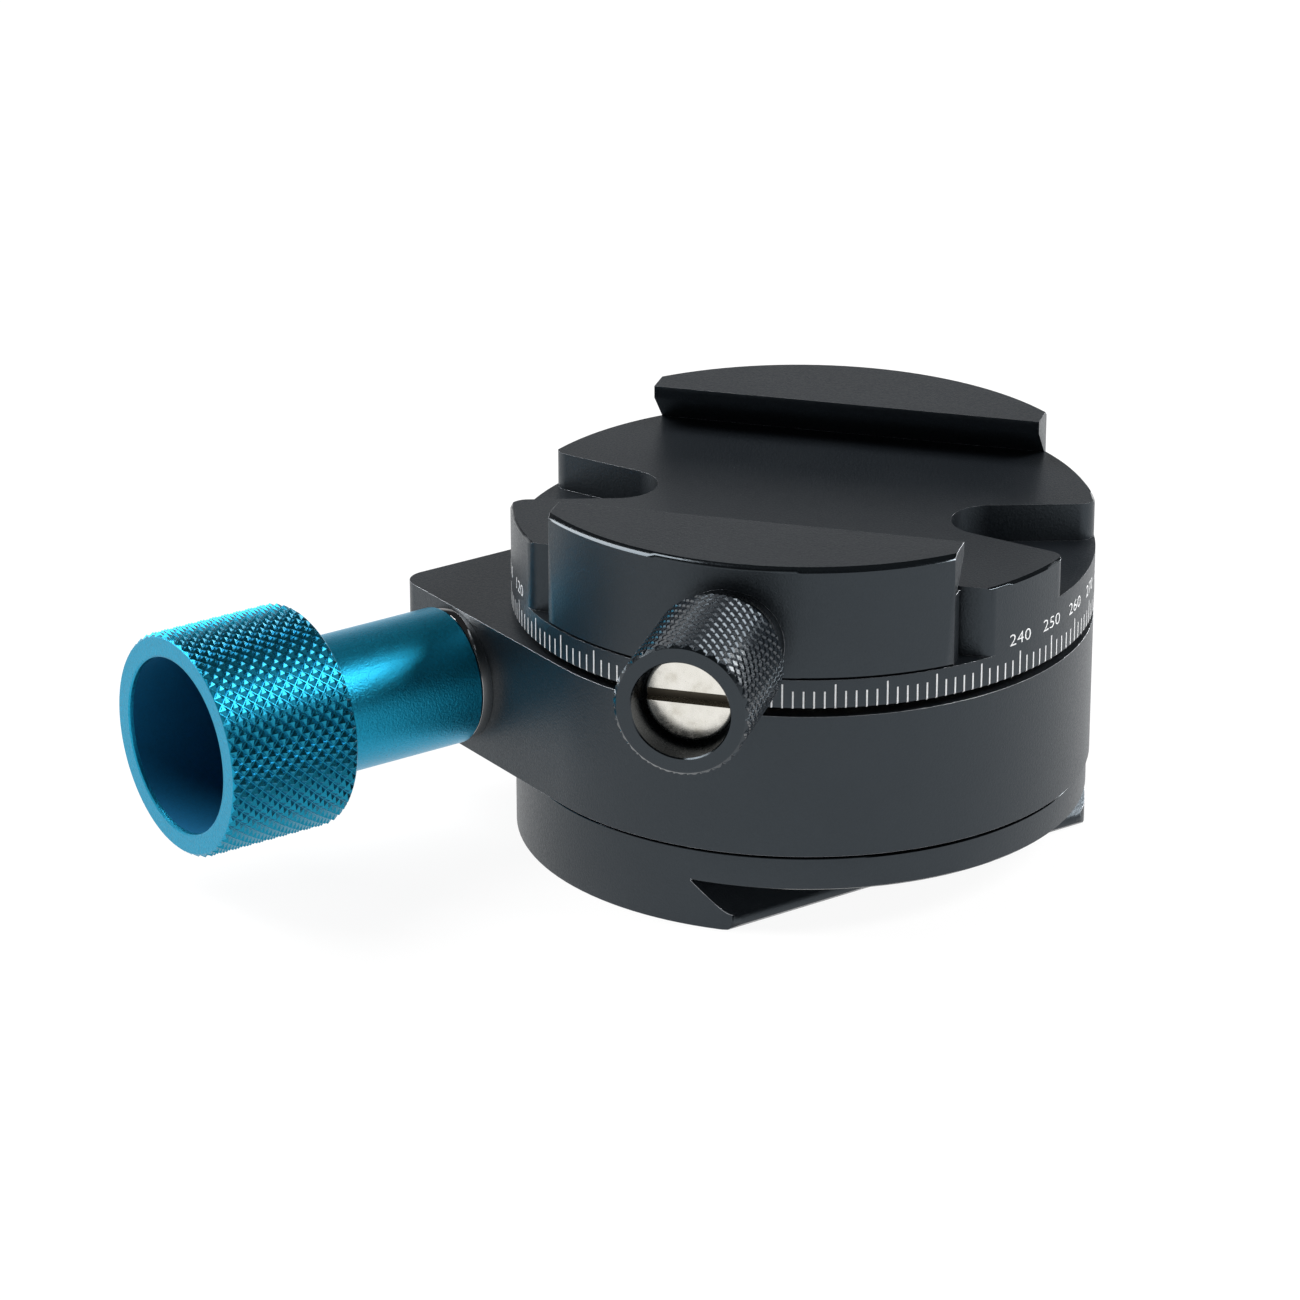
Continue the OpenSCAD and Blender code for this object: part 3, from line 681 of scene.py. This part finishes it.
def table():
    """A pale table. The camera and mirrors see it as white with a light shadow, and it throws
    only as much light on the object as a pale table does."""
    made = bpy.data.materials.new("white_table")
    made.use_nodes = True
    nodes = made.node_tree.nodes
    nodes.remove(nodes["Principled BSDF"])
    pale = add(made, "BsdfDiffuse", Color=(0.8, 0.8, 0.8, 1))
    shadow = add(made, "BsdfDiffuse", Color=(0.1, 0.1, 0.1, 1))
    glow = add(made, "Emission", Color=(1, 1, 1, 1), Strength=0.93)
    white = add(made, "AddShader")
    link(made, shadow.outputs[0], white.inputs[0])
    link(made, glow.outputs[0], white.inputs[1])
    path = add(made, "LightPath")
    direct = add(made, "Math", operation="ADD")
    seen = add(made, "Math", operation="ADD", use_clamp=True)
    link(made, path.outputs["Is Camera Ray"], direct.inputs[0])
    link(made, path.outputs["Is Glossy Ray"], direct.inputs[1])
    link(made, direct.outputs[0], seen.inputs[0])
    link(made, path.outputs["Is Transmission Ray"], seen.inputs[1])
    choice = add(made, "MixShader")
    link(made, seen.outputs[0], choice.inputs[0])
    link(made, pale.outputs[0], choice.inputs[1])
    link(made, white.outputs[0], choice.inputs[2])
    link(made, choice.outputs[0], nodes["Material Output"].inputs["Surface"])

    clear = 0.05  # keeps the table off the underside of the base
    bpy.ops.mesh.primitive_plane_add(size=8, location=(0, 0, -clear * MM))
    floor = bpy.context.object
    floor.name = "floor"
    floor.data.materials.append(made)


def backdrop():
    """White for the camera; for light and mirrors bright at the horizon and dark overhead."""
    world = bpy.data.worlds.new("studio")
    bpy.context.scene.world = world
    world.use_nodes = True
    coordinates = add(world, "TexCoord")
    split = add(world, "SeparateXYZ")
    link(world, coordinates.outputs["Generated"], split.inputs[0])
    heights = ramp(world, split.outputs["Z"], (0.0, 1.0), (0.3, 0.45), (0.48, 0.03))
    path = add(world, "LightPath")
    mix = add(world, "Mix", data_type="RGBA")
    link(world, path.outputs["Is Camera Ray"], mix.inputs["Factor"])
    link(world, heights, mix.inputs["A"])
    mix.inputs["B"].default_value = (1, 1, 1, 1)
    background = world.node_tree.nodes["Background"]
    link(world, mix.outputs["Result"], background.inputs["Color"])
    background.inputs["Strength"].default_value = 1.0


def studio():
    table()
    backdrop()
    lamp("left", (-0.55, 0.07, 0.64), width=0.6, height=0.6, power=9)
    lamp("right", (0.62, 0.1, 0.62), width=0.3, height=0.3, power=6)
    lamp("back_right", (0.42, 0.7, 0.14), width=0.5, height=0.2, power=4)


def lamp(name, position, width, height, power):
    """A softbox aimed at the middle of the head. Its place and size are in metres."""
    aim = Vector((0, 0, 0.02))
    data = bpy.data.lights.new(name, "AREA")
    data.shape = "RECTANGLE"
    data.size, data.size_y, data.energy = width, height, power
    piece = bpy.data.objects.new(name, data)
    bpy.context.scene.collection.objects.link(piece)
    piece.location = position
    piece.rotation_euler = (aim - Vector(position)).to_track_quat("-Z", "Y").to_euler()


def camera():
    """The photograph's view, fitted to the scale marks and the round edges."""
    azimuth, elevation, roll = math.radians(15.66), math.radians(22.426), math.radians(-0.065)
    position = Vector((127.69, -513.69, 236.93)) * MM
    right = Vector((math.cos(azimuth), math.sin(azimuth), 0))
    level = Vector((math.sin(azimuth), -math.cos(azimuth), 0))
    back = level * math.cos(elevation) + Vector((0, 0, math.sin(elevation)))
    up = back.cross(right)
    turned_right = right * math.cos(roll) + up * math.sin(roll)
    turned_up = up * math.cos(roll) - right * math.sin(roll)
    data = bpy.data.cameras.new("photo_view")
    data.lens, data.sensor_width = 153.0, 36.0
    data.clip_start = 0.01
    view = bpy.data.objects.new("photo_view", data)
    bpy.context.scene.collection.objects.link(view)
    view.matrix_world = Matrix.Translation(position) @ Matrix(
        (turned_right, turned_up, back)).transposed().to_4x4()
    bpy.context.scene.camera = view


camera()
milled_bodies()
scale_marks()
scale_numbers()
index_mark()
drive_knob()
clamp_knob()
washer()
slotted_screw()
plain_nodes()
studio()
bpy.context.scene.view_settings.view_transform = "Standard"
